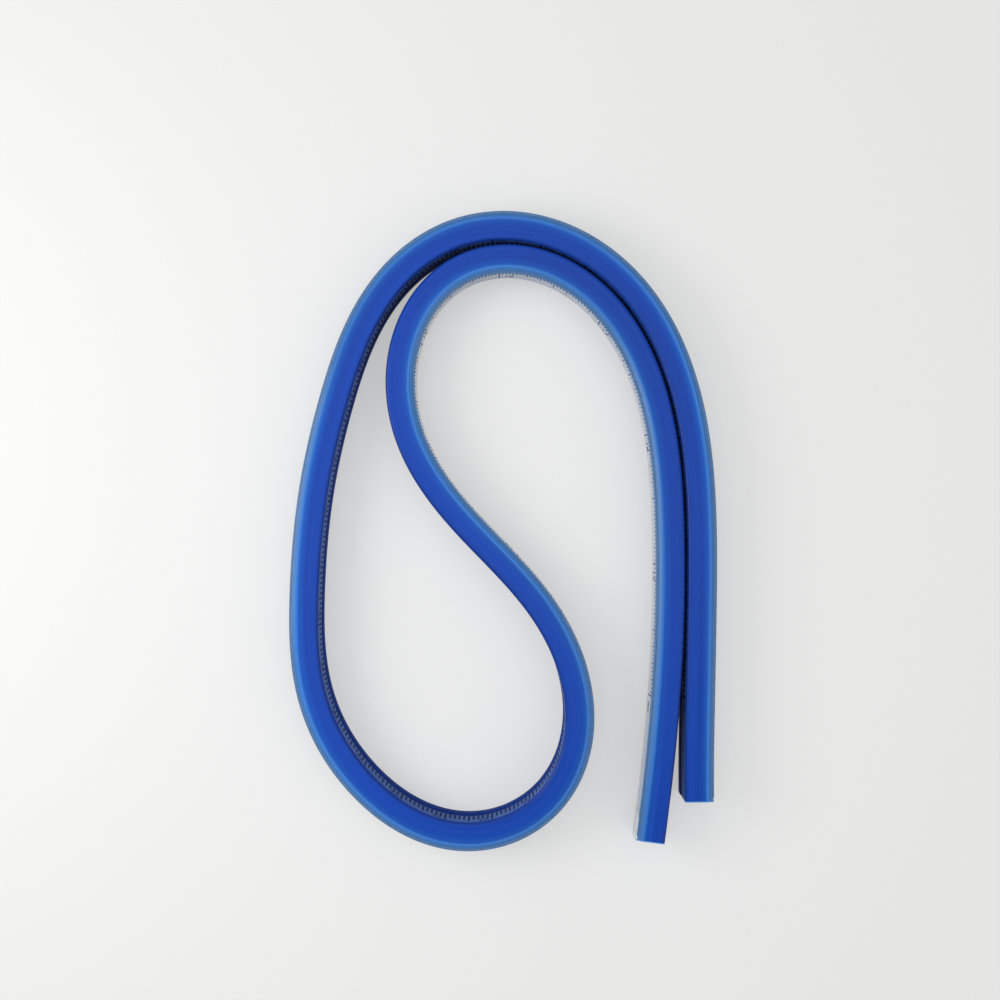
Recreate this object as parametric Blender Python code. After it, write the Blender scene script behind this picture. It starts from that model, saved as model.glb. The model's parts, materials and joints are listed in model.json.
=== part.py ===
"""Flexible curve ruler with a 20 inch scale, bent into the coiled shape of the photograph.

Blender 4.5, metres, +Z up. The ruler stands on its narrow base at z = 0, seen from above.
The real sheath, core and strip are unbroken. Here each is a chain of short rigid links with a
round knuckle between them, because a rigid-body model can only bend at hinges. The hinges turn
about +Z on the neutral axis, which is the middle of the core.
Side A (the left of the route) carries the inch scale on an inking ledge, which overhangs the
base. Side B carries the metric scale.
"""

import math

import bmesh
import bpy
from mathutils import Matrix, Vector

# The whole ruler.
ruler_length = 0.5455
ruler_height = 0.0102

# The sheath's section. Widths run sideways from the neutral axis, levels run up from the base.
metric_wall_width = 0.002
base_band_step = 0.00005
base_band_width = metric_wall_width + base_band_step
groove_depth = 0.00035
inch_wall_width = 0.0029
ledge_reach = 0.0008
ledge_width = inch_wall_width + ledge_reach
base_chamfer = 0.0002
base_band_level = 0.0034
groove_slope = 0.0001
groove_height = 0.0004
ledge_level = 0.0043
crown_round = 0.00045

# What the sheath holds: a lead bar and a steel strip, in a cavity with a little room all round.
cavity_half_width = 0.0013
floor_thickness = 0.0013
roof_thickness = 0.0013
core_room = 0.0002
strip_thickness = 0.0003
cavity_roof_level = ruler_height - roof_thickness
core_low_level = floor_thickness + core_room
core_high_level = cavity_roof_level - core_room
core_inch_width = cavity_half_width - core_room
strip_outer_width = cavity_half_width - core_room
strip_inner_width = strip_outer_width - strip_thickness
core_metric_width = strip_inner_width - core_room
strip_low_level = core_low_level + core_room
strip_high_level = core_high_level - core_room

# The end plugs.
plug_cap_length = 0.0009
plug_length = 0.005
seat_gap = 0.0003
plug_fit_gap = 0.0002

# The knuckles between links.
knuckle_margin = 0.0003
knuckle_radius = ledge_width + knuckle_margin
knuckle_gap = 0.00035
knuckle_spare = 0.0006
cutter_margin = 0.001
cutter_reach = 0.012
cutter_side = 0.008
cutter_round_segments = 40

# The route. Each value is the turn rate at evenly spaced stations along the coil, from its inner
# end to its outer end, in degrees per coil length, positive to the left. The rate runs straight
# between. A ruler of another length lies on the middle of the same coil.
coil_length = 0.5455
start_heading_degrees = 82.4
turn_rates = [
    37, 81, 94, 101, 381, 760, 1179, 1685, 1100, 924, 257, -611, -1014, -1617, -1480,
    -765, -856, -144, -247, -168, -810, -1253, -1000, -785, -466, -198, -27, 2, 106,
]
route_steps = 1600

# The strands lie side B to side B, so the neutral axis moves sideways where side B gets wider.
# Half the pitch of two strands is a share of the coil's length, because it comes from the turns.
strand_half_pitch_share = 0.0041247
strand_gap = 0.0004
side_shift = base_band_width + strand_gap / 2 - coil_length * strand_half_pitch_share

# Where one link ends and the next begins, as shares of the ruler's length.
hinge_shares = [
    0.095, 0.162, 0.206, 0.243, 0.279, 0.319, 0.376, 0.425, 0.463,
    0.497, 0.536, 0.582, 0.648, 0.710, 0.752, 0.791, 0.836, 0.894,
]
root_link = 10
turn_per_segment = 6.0
longest_segment = 0.008


def clear_scene():
    """Remove what the scene holds, so that the script can be run again."""
    for old in list(bpy.data.objects):
        bpy.data.objects.remove(old, do_unlink=True)
    for old in list(bpy.data.collections):
        bpy.data.collections.remove(old)


def new_collection(name, hidden=False):
    """A collection in the scene. The one for cutters is kept out of the render."""
    collection = bpy.data.collections.new(name)
    bpy.context.scene.collection.children.link(collection)
    collection.hide_render = hidden
    return collection


def new_material(name, color, roughness, metallic=0.0, transmission=0.0):
    """A Principled material."""
    material = bpy.data.materials.new(name)
    material.use_nodes = True
    shader = material.node_tree.nodes["Principled BSDF"]
    shader.inputs["Base Color"].default_value = (*color, 1.0)
    shader.inputs["Roughness"].default_value = roughness
    shader.inputs["Metallic"].default_value = metallic
    shader.inputs["Transmission Weight"].default_value = transmission
    material.diffuse_color = (*color, 1.0)
    return material


class Route:
    """The neutral axis: position and heading at any length along the ruler."""

    def __init__(self):
        step = coil_length / route_steps
        x, y = 0.0, 0.0
        heading = math.radians(start_heading_degrees)
        self.points = [(x, y, heading)]
        for index in range(route_steps):
            rate = self.rate_at((index + 0.5) / route_steps)
            turn = math.radians(rate) / route_steps
            middle = heading + turn / 2
            x += math.cos(middle) * step
            y += math.sin(middle) * step
            heading += turn
            self.points.append((x, y, heading))
        self.points = [self.beside(point, side_shift) + (point[2],) for point in self.points]
        self.centre_on_origin()

    @staticmethod
    def rate_at(share):
        """The turn rate at a share of the coil's length, straight between the stations."""
        place = share * (len(turn_rates) - 1)
        low = min(int(place), len(turn_rates) - 2)
        part = place - low
        return turn_rates[low] * (1 - part) + turn_rates[low + 1] * part

    @staticmethod
    def beside(point, width):
        """A place at a width to the left of a point on the route."""
        x, y, heading = point
        return x - math.sin(heading) * width, y + math.cos(heading) * width

    def centre_on_origin(self):
        """Move the route so that the middle of the ruler's outline lies over the origin."""
        outline = []
        for index in range(route_steps + 1):
            point = self.at(ruler_length * index / route_steps)
            outline.append(self.beside(point, ledge_width))
            outline.append(self.beside(point, -base_band_width))
        middle_x = (min(p[0] for p in outline) + max(p[0] for p in outline)) / 2
        middle_y = (min(p[1] for p in outline) + max(p[1] for p in outline)) / 2
        self.points = [(x - middle_x, y - middle_y, h) for x, y, h in self.points]

    def at(self, length):
        """Position and heading at a length from the inner end. It runs straight on past the coil."""
        along_coil = length + (coil_length - ruler_length) / 2
        place = along_coil / coil_length * route_steps
        low = max(0, min(int(place), route_steps - 1))
        part = place - low
        inside = max(0.0, min(part, 1.0))
        first = self.points[low]
        last = self.points[low + 1]
        return (
            first[0] + (last[0] - first[0]) * part,
            first[1] + (last[1] - first[1]) * part,
            first[2] + (last[2] - first[2]) * inside,
        )

    def turn_between(self, start, end):
        return math.degrees(abs(self.at(end)[2] - self.at(start)[2]))


def rounded_top(low_width, high_width):
    """The crown, from side B to side A, with both its corners rounded."""
    shoulder = ruler_height - crown_round
    return [
        (low_width, shoulder),
        (low_width + crown_round * 0.3, shoulder + crown_round * 0.7),
        (low_width + crown_round, ruler_height),
        (high_width - crown_round, ruler_height),
        (high_width - crown_round * 0.3, shoulder + crown_round * 0.7),
        (high_width, shoulder),
    ]


def sheath_section():
    """The outline of the sheath with its inking ledge: sideways to the left, and up."""
    groove_low_level = base_band_level + groove_slope
    groove_high_level = groove_low_level + groove_height
    return [
        (-base_band_width + base_chamfer, 0.0),
        (-base_band_width, base_chamfer),
        (-base_band_width, base_band_level),
        (groove_depth - metric_wall_width, groove_low_level),
        (groove_depth - metric_wall_width, groove_high_level),
        (-metric_wall_width, groove_high_level + groove_slope),
        *rounded_top(-metric_wall_width, ledge_width),
        (ledge_width, ledge_level + base_chamfer),
        (ledge_width - base_chamfer, ledge_level),
        (inch_wall_width, ledge_level),
        (inch_wall_width, base_chamfer),
        (inch_wall_width - base_chamfer, 0.0),
    ]


def plug_cap_section():
    """The end plug's cap: the sheath's outline without its groove."""
    return [
        (-base_band_width + base_chamfer, 0.0),
        (-base_band_width, base_chamfer),
        *rounded_top(-metric_wall_width, ledge_width),
        (ledge_width, ledge_level + base_chamfer),
        (ledge_width - base_chamfer, ledge_level),
        (inch_wall_width, ledge_level),
        (inch_wall_width, base_chamfer),
        (inch_wall_width - base_chamfer, 0.0),
    ]


def box_section(low_width, high_width, low_level, high_level):
    return [
        (low_width, low_level),
        (low_width, high_level),
        (high_width, high_level),
        (high_width, low_level),
    ]


def sweep(name, section, route, start, end, segments, collection):
    """Sweep a section along the route with a curve object, and make the result a mesh."""
    outline = bpy.data.curves.new(name + "_section", "CURVE")
    outline.dimensions = "2D"
    outline.fill_mode = "NONE"
    shape = outline.splines.new("POLY")
    shape.points.add(len(section) - 1)
    for point, (width, level) in zip(shape.points, section):
        point.co = (-width, level, 0.0, 1.0)
    shape.use_cyclic_u = True
    outline_object = bpy.data.objects.new(name + "_section", outline)
    path = bpy.data.curves.new(name + "_path", "CURVE")
    path.dimensions = "3D"
    path.twist_mode = "Z_UP"
    path.use_fill_caps = True
    path.bevel_mode = "OBJECT"
    path.bevel_object = outline_object
    line = path.splines.new("POLY")
    line.points.add(segments)
    for index, point in enumerate(line.points):
        x, y, _ = route.at(start + (end - start) * index / segments)
        point.co = (x, y, 0.0, 1.0)
    path_object = bpy.data.objects.new(name + "_path", path)
    for helper in (outline_object, path_object):
        collection.objects.link(helper)
    bpy.context.view_layer.update()
    evaluated = path_object.evaluated_get(bpy.context.evaluated_depsgraph_get())
    mesh = bpy.data.meshes.new_from_object(evaluated)
    mesh.name = name
    for helper in (path_object, outline_object):
        data = helper.data
        bpy.data.objects.remove(helper, do_unlink=True)
        bpy.data.curves.remove(data)
    work = bmesh.new()
    work.from_mesh(mesh)
    bmesh.ops.remove_doubles(work, verts=work.verts, dist=0.000001)
    bmesh.ops.recalc_face_normals(work, faces=work.faces)
    work.to_mesh(mesh)
    work.free()
    mesh.materials.clear()
    return mesh


def round_post(name, x, y, radius, collection):
    """An upright cylinder through the whole section, used as a cutter."""
    mesh = bpy.data.meshes.new(name)
    work = bmesh.new()
    bmesh.ops.create_cone(
        work,
        cap_ends=True,
        segments=cutter_round_segments,
        radius1=radius,
        radius2=radius,
        depth=ruler_height + 2 * cutter_margin,
    )
    work.to_mesh(mesh)
    work.free()
    post = bpy.data.objects.new(name, mesh)
    post.location = (x, y, ruler_height / 2)
    hide_cutter(post, collection)
    return post


def hide_cutter(cutter, collection):
    collection.objects.link(cutter)
    cutter.hide_render = True
    cutter.display_type = "WIRE"


def nose_cutter(name, x, y, heading, collection):
    """What is cut off a link past its hinge: a block with the knuckle's cylinder left out."""
    post = round_post(name + "_post", x, y, knuckle_radius, collection)
    mesh = bpy.data.meshes.new(name)
    work = bmesh.new()
    bmesh.ops.create_cube(work, size=1.0)
    size = (cutter_reach, 2 * cutter_side, ruler_height + cutter_margin)
    bmesh.ops.scale(work, vec=size, verts=work.verts)
    bmesh.ops.translate(work, vec=(cutter_reach / 2, 0.0, 0.0), verts=work.verts)
    work.to_mesh(mesh)
    work.free()
    block = bpy.data.objects.new(name, mesh)
    block.location = (x, y, ruler_height / 2)
    block.rotation_euler = (0.0, 0.0, heading)
    hide_cutter(block, collection)
    add_boolean(block, post, "DIFFERENCE")
    return block


def add_boolean(target, other, operation):
    modifier = target.modifiers.new(other.name, "BOOLEAN")
    modifier.operation = operation
    modifier.solver = "EXACT"
    modifier.object = other


def place(name, mesh, hinge, empty, material, collection):
    """An object whose origin is its link's hinge, made from a mesh in world coordinates."""
    mesh.transform(Matrix.Translation(-hinge))
    mesh.materials.append(material)
    piece = bpy.data.objects.new(name, mesh)
    collection.objects.link(piece)
    piece.parent = empty
    return piece


def plain_cutter(name, mesh, collection):
    cutter = bpy.data.objects.new(name, mesh)
    hide_cutter(cutter, collection)
    return cutter


def add_hinge_empties(route, hinges, parts):
    """One empty for each link, on its joint's axis, in a chain that runs out from the root link."""
    count = len(hinges) + 1
    root = root_link - 1
    places = []
    for index in range(count):
        if index > root:
            length = hinges[index - 1]
        elif index < root:
            length = hinges[index]
        else:
            length = (hinges[root - 1] + hinges[root]) / 2
        x, y, _ = route.at(length)
        places.append(Vector((x, y, 0.0)))
    empties = []
    for index in range(count):
        empty = bpy.data.objects.new(f"link_{index + 1:02d}", None)
        empty.empty_display_size = ruler_height
        parts.objects.link(empty)
        empties.append(empty)
    for index, empty in enumerate(empties):
        if index == root:
            empty.location = places[index]
            continue
        inward = index - 1 if index > root else index + 1
        empty.parent = empties[inward]
        empty.location = places[index] - places[inward]
    return places, empties


def add_links(route, hinges, parts, cutters, materials):
    """The sheath, the lead core and the steel strip of each link."""
    places, empties = add_hinge_empties(route, hinges, parts)
    bounds = [0.0] + hinges + [ruler_length]
    last = len(bounds) - 2
    noses = []
    sockets = []
    for number, length in enumerate(hinges):
        x, y, heading = route.at(length)
        noses.append(nose_cutter(f"nose_cutter_{number + 1:02d}", x, y, heading, cutters))
        radius = knuckle_radius + knuckle_gap
        sockets.append(round_post(f"socket_cutter_{number + 1:02d}", x, y, radius, cutters))
    sections = {
        "sheath": sheath_section(),
        "lead_core": box_section(-core_metric_width, core_inch_width, core_low_level, core_high_level),
        "steel_strip": box_section(-strip_outer_width, -strip_inner_width, strip_low_level, strip_high_level),
    }
    hollow = box_section(-cavity_half_width, cavity_half_width, floor_thickness, cavity_roof_level)
    for link in range(last + 1):
        tag = f"{link + 1:02d}"
        low, high = bounds[link], bounds[link + 1]
        turning = route.turn_between(low, high) / turn_per_segment
        segments = max(math.ceil(turning), math.ceil((high - low) / longest_segment))
        for kind, section in sections.items():
            start, end = low, high + knuckle_radius + knuckle_spare
            end_room = plug_length + seat_gap
            if kind == "sheath":
                end_room = plug_cap_length + seat_gap
            if link == 0:
                start = end_room
            if link == last:
                end = ruler_length - end_room
            name = f"{kind}_{tag}"
            mesh = sweep(name, section, route, start, end, segments, cutters)
            piece = place(name, mesh, places[link], empties[link], materials[kind], parts)
            if kind == "sheath":
                reach = (start - cutter_margin, end + cutter_margin)
                bore = sweep("bore_" + tag, hollow, route, *reach, segments, cutters)
                add_boolean(piece, plain_cutter("bore_" + tag, bore, cutters), "DIFFERENCE")
            if link > 0:
                add_boolean(piece, sockets[link - 1], "DIFFERENCE")
            if link < last:
                add_boolean(piece, noses[link], "DIFFERENCE")
    return places, empties


def add_end_plug(name, route, cap, tongue, place_of, empty, parts, cutters, material):
    """A plug that closes one end: a cap over the sheath's cut end and a tongue in its bore."""
    mesh = sweep(name, plug_cap_section(), route, *cap, 1, cutters)
    plug = place(name, mesh, place_of, empty, material, parts)
    bore = box_section(
        -cavity_half_width + plug_fit_gap,
        cavity_half_width - plug_fit_gap,
        floor_thickness + plug_fit_gap,
        cavity_roof_level - plug_fit_gap,
    )
    tongue_mesh = sweep(name + "_tongue", bore, route, *tongue, 2, cutters)
    add_boolean(plug, plain_cutter(name + "_tongue", tongue_mesh, cutters), "UNION")
    return plug


def build():
    clear_scene()
    parts = new_collection("flexible_curve_ruler")
    cutters = new_collection("cutters", hidden=True)
    materials = {
        "sheath": new_material("blue_pvc", (0.032, 0.092, 0.44), 0.28),
        "lead_core": new_material("lead", (0.22, 0.23, 0.25), 0.55, metallic=0.9),
        "steel_strip": new_material("spring_steel", (0.46, 0.47, 0.49), 0.3, metallic=1.0),
        "end_plug": new_material("plug_pvc", (0.03, 0.085, 0.38), 0.35),
    }
    route = Route()
    hinges = [share * ruler_length for share in hinge_shares]
    places, empties = add_links(route, hinges, parts, cutters, materials)
    cap_inside = plug_cap_length / 2
    add_end_plug(
        "end_plug_inner",
        route,
        (0.0, plug_cap_length),
        (cap_inside, plug_length),
        places[0],
        empties[0],
        parts,
        cutters,
        materials["end_plug"],
    )
    add_end_plug(
        "end_plug_outer",
        route,
        (ruler_length - plug_cap_length, ruler_length),
        (ruler_length - plug_length, ruler_length - cap_inside),
        places[-1],
        empties[-1],
        parts,
        cutters,
        materials["end_plug"],
    )
    bpy.context.view_layer.update()


build()
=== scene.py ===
"""Looks of the flexible curve ruler: vinyl sheath, clear inking ledge, printed scales and core.

Every piece is swept along the ruler's neutral axis, which bends as in part.py. A piece reaches
from the middle of one link to the middle of the next and bends across the hinge between them,
so that the ruler looks unbroken. Widths run to the left of the route, which is side A, the inch
side. Side B, with the metric scale, is to the right.
"""

import json
import math

import bmesh
import bpy
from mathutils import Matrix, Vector
from mathutils.geometry import tessellate_polygon

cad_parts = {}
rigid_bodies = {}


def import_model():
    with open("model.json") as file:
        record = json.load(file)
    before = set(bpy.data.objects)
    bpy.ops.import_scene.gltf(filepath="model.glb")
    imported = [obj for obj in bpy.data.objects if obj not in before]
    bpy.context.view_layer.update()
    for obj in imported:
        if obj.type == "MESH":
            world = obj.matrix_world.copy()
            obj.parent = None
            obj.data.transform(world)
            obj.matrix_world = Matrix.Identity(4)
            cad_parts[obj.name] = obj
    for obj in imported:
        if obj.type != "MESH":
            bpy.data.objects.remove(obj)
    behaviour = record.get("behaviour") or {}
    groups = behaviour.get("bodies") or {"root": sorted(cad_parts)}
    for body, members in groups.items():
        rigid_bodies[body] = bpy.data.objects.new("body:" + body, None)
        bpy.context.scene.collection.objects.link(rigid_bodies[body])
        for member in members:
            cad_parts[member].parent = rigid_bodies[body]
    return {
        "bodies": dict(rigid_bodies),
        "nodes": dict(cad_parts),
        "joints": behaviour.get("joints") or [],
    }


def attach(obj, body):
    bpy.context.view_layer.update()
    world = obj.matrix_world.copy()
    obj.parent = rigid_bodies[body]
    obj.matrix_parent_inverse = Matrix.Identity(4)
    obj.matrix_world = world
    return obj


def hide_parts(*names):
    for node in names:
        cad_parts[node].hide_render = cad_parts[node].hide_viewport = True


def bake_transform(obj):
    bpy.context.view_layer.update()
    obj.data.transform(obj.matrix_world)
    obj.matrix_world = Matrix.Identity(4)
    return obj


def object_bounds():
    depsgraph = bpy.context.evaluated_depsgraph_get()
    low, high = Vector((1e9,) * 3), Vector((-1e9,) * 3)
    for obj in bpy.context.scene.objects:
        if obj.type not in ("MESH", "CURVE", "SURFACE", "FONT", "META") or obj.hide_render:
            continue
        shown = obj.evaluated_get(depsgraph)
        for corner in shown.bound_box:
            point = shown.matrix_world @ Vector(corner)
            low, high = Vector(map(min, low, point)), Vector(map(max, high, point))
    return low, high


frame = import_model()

bl_info = {
    "name": "Flexible Curve Ruler",
    "version": (1, 0, 0),
    "blender": (4, 5, 0),
    "location": "3D View > Sidebar > Ruler",
    "description": "Builds the looks of a flexible curve ruler around its CAD frame",
    "category": "Object",
}

cad_low, cad_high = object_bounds()

# The route, as in part.py: degrees of turn per ruler length at evenly spaced stations.
start_heading_degrees = 82.4
turn_rates = [
    37, 81, 94, 101, 381, 760, 1179, 1685, 1100, 924, 257, -611, -1014, -1617, -1480,
    -765, -856, -144, -247, -168, -810, -1253, -1000, -785, -466, -198, -27, 2, 106,
]
route_steps = 1600
hinge_tolerance = 0.0002

# Counts and shares that a user has no need to change.
ticks_per_inch = 32
ticks_per_centimetre = 10
crown_steps = 14
hollow_share = 0.5
shoulder_share = 0.66
arris_flat_share = 1 / 3
arris_drop_share = 0.2
bar_corner_share = 0.12
font_share = 1.37
two_digit_share = 1.35
numeral_weight = 0.012
numeral_steps = 2
near_clip_share = 0.02
floor_dark_share = 0.985
floor_roughness = 0.7

# Roundings: how many steps they take, and in degrees those that meet a leaning face.
base_round_steps = 3
crown_round_steps = 6
edge_round_steps = 4
bar_round_steps = 2
shoulder_arc = (75, 0)
ledge_top_arc = (85, 5)
ledge_foot_arc = (3, -85)

# Patterns: repeats per metre, and the depth of the finest unevenness in metres.
fine_grain = 3000
streak_along = 14
streak_across = 900
floor_grain = 400
bump_depth = 0.00002

# What the patterns do: how much longer than wide a grain is and how detailed, what a noise mostly
# spans, how far streaks move the colours, and how gloss and surface follow grain and streaks.
grain_stretch = 6
grain_detail = 4.0
noise_range = (0.3, 0.7)
streak_drift = 0.05
grain_gloss_shares = (0.9, 1.15)
streak_gloss_shares = (0.8, 1.25)
streak_bump = 0.25

# The clear ledge: how opaque it is, and how far and how raggedly its ends are milky and pale: sealed
# vinyl with a painted reflection of light in the clear ends.
clear_alpha = 0.5
frost_glint_alpha = 0.85
frost_glint_full_share = 0.8
frost_glint_uneven_share = 0.25

# Where the crown's colours change, as shares of side B's width and of the tint's.
# The first share places the painted shade on side B's rounded corner.
crown_edge_shade_share = 0.95
crown_start_share = 0.6
crown_end_share = 0.25
tint_start_share = 0.85

# Plain finishes: colour, roughness, unevenness of the colour and of the surface, and sockets.
plain_finishes = {
    "backing_vinyl": ("backing", 0.35, 0.06, 0.15, {}),
    "printed_wall": ("printed", 0.5, 0.06, 0.15, {"Specular IOR Level": 0.03}),
    "clear_vinyl": ("ledge", 0.1, 0.06, 0.15, {}),
    "band_vinyl": ("band", 0.5, 0.06, 0.15, {"Specular IOR Level": 0.03}),
    # The groove finish is darker as painted shade in the recess.
    "groove_vinyl": ("groove", 0.6, 0.06, 0.15, {"Specular IOR Level": 0.03}),
    "bore_vinyl": ("crown", 0.6, 0.06, 0.15, {}),
    # The seal finish also makes the pale line round each sealed end, a painted highlight.
    "seal_vinyl": ("seal", 0.22, 0.1, 0.15, {}),
    # The pressed-shut ledge's pale finish is partly a painted reflection of light in the clear ends.
    "frosted_vinyl": ("frost", 0.2, 0.05, 0.15, {}),
    "scale_ink": ("ink", 0.7, 0.3, 0.1, {"Specular IOR Level": 0.05}),
    "lead_metal": ("lead", 0.55, 0.25, 0.6, {"Metallic": 1.0}),
    "steel_metal": ("steel", 0.28, 0.08, 0.2, {"Metallic": 1.0}),
}

# Finishes that change as they rise: the colour above, and where it comes, as shares of the height.
risen_finish_shares = {
    "backing_vinyl": ("shoulder_edge", (0.706, 0.863)),
    "printed_wall": ("printed_top", (0.833, 0.961)),
    "clear_vinyl": ("ledge_top", (0.824, 0.931)),
}

# Extruded vinyl: roughness, how strong its streaks are, and sockets.
banded_finishes = {
    "crown_vinyl": (0.26, 0.12, {"Specular IOR Level": 0.18}),
    "shoulder_vinyl": (0.22, 0.08, {"Specular IOR Level": 0.25}),
}

# Lamps: name, place and size in picture widths, and strength in watts per square picture width.
lamp_rows = (
    ("key_softbox", -0.95, 0.1, 0.85, 0.7, 7),
    ("top_softbox", -0.2, 0.4, 3.2, 2.4, 17),
    ("fill_softbox", 2.6, -0.8, 3.0, 2.6, 18),
)


def metres(name, description, default):
    return bpy.props.FloatProperty(
        name=name, description=description, default=default, unit="LENGTH", precision=5
    )


def colour(name, description, default):
    return bpy.props.FloatVectorProperty(
        name=name, description=description, default=default, subtype="COLOR", size=3, min=0, max=1
    )


class RulerSizes(bpy.types.PropertyGroup):
    """Sizes of the ruler, in metres."""

    ruler_length: metres("Length", "Along the neutral axis", 0.5455)
    metric_wall: metres("Metric wall", "Side B's printed wall from the axis", 0.002)
    base_band: metres("Base band", "Side B's base band from the axis", 0.00205)
    groove_wall: metres("Groove", "Bottom of side B's groove from the axis", 0.00165)
    arris: metres("Arris", "The ridge where the shoulder begins", 0.00235)
    tint: metres("Tint", "Where the deep blue of the crown ends", 0.00195)
    inch_wall: metres("Inch wall", "Side A's wall behind the ledge", 0.00318)
    inch_base: metres("Inch base", "Side A's wall under the ledge", 0.0029)
    ledge: metres("Ledge", "Foot of the clear ledge from the axis", 0.0037)
    ledge_top: metres("Ledge top", "Top edge of the clear ledge", 0.00352)
    band_top: metres("Band top", "Level of the top of the base band", 0.0034)
    print_low: metres("Print low", "Level of side B's wall over the groove", 0.004)
    print_foot: metres("Print foot", "Level where its pale part begins", 0.0047)
    ledge_low: metres("Ledge low", "Level of the ledge's underside", 0.0043)
    ledge_fall: metres("Ledge fall", "How far the ledge lies under the arris", 0.0003)
    ledge_edge: metres("Ledge edge", "Radius of the ledge's edges", 0.00014)
    seam: metres("Seam", "Gap between the ledge and the wall behind it", 0.00002)
    crown_drop: metres("Crown drop", "How far the crown lies under the arris", 0.00006)
    shoulder_drop: metres("Shoulder drop", "How far the shoulder falls", 0.0003)
    corner: metres("Corner", "Radius of the crown's corners", 0.0006)
    small_corner: metres("Small corner", "Chamfer of the base and the grooves", 0.0002)
    arris_width: metres("Arris width", "Width of the rounded arris", 0.00034)
    bore: metres("Bore", "Half the width of the bore", 0.0013)
    wall: metres("Wall", "Thickness under and over the bore", 0.0013)
    room: metres("Room", "Room round the core and the strip", 0.0002)
    strip: metres("Strip", "Thickness of the steel strip", 0.0003)
    seal: metres("Seal", "Thickness of the sealed ends", 0.0009)
    # The pale line round a sealed end is a painted highlight on its edge.
    rim: metres("Rim", "Width of the pale line round a sealed end", 0.00018)
    # The ledge is paler this far from each end, a painted reflection of light in the clear ends.
    frost: metres("Frost", "How far the ledge is milky from each end", 0.0062)
    plug: metres("Plug", "How far a sealed end reaches in", 0.005)
    plug_room: metres("Plug room", "Room round a plug's stem", 0.0002)
    tip_bend: metres("Tip bend", "Half the length over which the outer tip bends", 0.005)
    ring: metres("Ring step", "Distance between rings along the ruler", 0.001)


class ScaleSizes(bpy.types.PropertyGroup):
    """Sizes of the printed scales, in metres."""

    inch_zero: metres("Inch zero", "The inch scale's zero from the outer end", 0.0099)
    inch: metres("Inch", "One inch", 0.0254)
    inches: bpy.props.IntProperty(name="Inches", description="Inches on side A", default=20)
    metric_zero: metres("Metric zero", "The zero from the inner end", 0.0259)
    centimetre: metres("Centimetre", "One centimetre", 0.01)
    centimetres: bpy.props.IntProperty(
        name="Centimetres", description="Centimetres on side B", default=50
    )
    tick_width: metres("Tick width", "Width of a printed tick", 0.0004)
    inch_tick_width: metres("Inch tick width", "Width of an inch tick", 0.0002)
    ink: metres("Ink", "How far the ink stands proud", 0.000012)
    ink_depth: metres("Ink depth", "How deep the ink's mesh reaches in", 0.00004)
    metric_line: metres("Metric line", "Level where the metric ticks begin", 0.0047)
    metric_short: metres("Metric short", "A millimetre tick", 0.003)
    metric_middle: metres("Metric middle", "A five millimetre tick", 0.0039)
    metric_long: metres("Metric long", "A centimetre tick", 0.0047)
    inch_line: metres("Inch line", "Level where the inch ticks begin", 0.0096)
    inch_short: metres("Inch short", "A tick of 1/32 inch", 0.0012)
    inch_middle: metres("Inch middle", "A tick of 1/8 inch", 0.002)
    inch_half: metres("Inch half", "A tick of 1/2 inch", 0.003)
    inch_long: metres("Inch long", "A tick of one inch", 0.0042)
    numeral: metres("Numeral", "Height of a numeral", 0.0016)
    inch_numeral_level: metres("Inch numeral level", "Its baseline", 0.0058)
    inch_numeral_side: metres("Inch numeral side", "From its tick to its middle", 0.0017)
    metric_numeral_level: metres("Metric numeral level", "Its baseline", 0.0078)
    metric_numeral_side: metres("Metric numeral side", "From its tick", 0.0013)


class RulerColours(bpy.types.PropertyGroup):
    """Colours of the ruler, as linear values."""

    crown: colour("Crown", "Deep blue vinyl", (0.0025, 0.055, 0.41))
    # The darker blue over side B's rounded corner is painted shade, where the crown turns away from the
    # light.
    crown_edge: colour("Crown edge", "Its side beside the metric scale", (0.004, 0.034, 0.25))
    crown_pale: colour("Crown pale", "The blue beside the shoulder", (0.005, 0.08, 0.45))
    tint: colour("Tint", "Where crown and shoulder blend", (0.01, 0.115, 0.49))
    arris: colour("Arris", "The bright arris", (0.042, 0.19, 0.6))
    # The arris is lighter than the blues beside it: pale translucent vinyl, and a painted highlight
    # along the ridge.
    shoulder: colour("Shoulder", "Pale blue translucent shoulder", (0.048, 0.175, 0.47))
    shoulder_edge: colour("Shoulder edge", "Its outer edge", (0.07, 0.185, 0.4))
    backing: colour("Backing", "Foot of the wall behind the ledge", (0.74, 0.79, 0.88))
    band: colour("Band", "The base band", (0.006, 0.036, 0.23))
    # The groove's darker blue is painted shade in the recess, besides the shade its depth gives.
    groove: colour("Groove", "The dark groove", (0.004, 0.02, 0.18))
    printed: colour("Printed wall", "Blue-grey wall under the print", (0.072, 0.155, 0.42))
    printed_top: colour("Printed wall top", "Its bluer top", (0.02, 0.1, 0.46))
    ledge: colour("Ledge", "Foot of the clear vinyl", (0.72, 0.79, 0.9))
    ledge_top: colour("Ledge top", "Top of the clear vinyl", (0.09, 0.24, 0.5))
    # The pale frost colour of the pressed-shut ledge and of the ledge's ends is partly a painted
    # reflection of light.
    frost: colour("Frost", "The ledge where it is pressed shut", (0.7, 0.76, 0.82))
    # The seal colour is the plugs' own blue, and also the pale line round each sealed end, a painted
    # highlight on its edge.
    seal: colour("Seal", "Rim of the sealed ends", (0.12, 0.33, 0.72))
    ink: colour("Ink", "Printed ink", (0.006, 0.018, 0.1))
    lead: colour("Lead", "Dull lead", (0.2, 0.21, 0.23))
    steel: colour("Steel", "Spring steel", (0.5, 0.51, 0.53))


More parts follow.
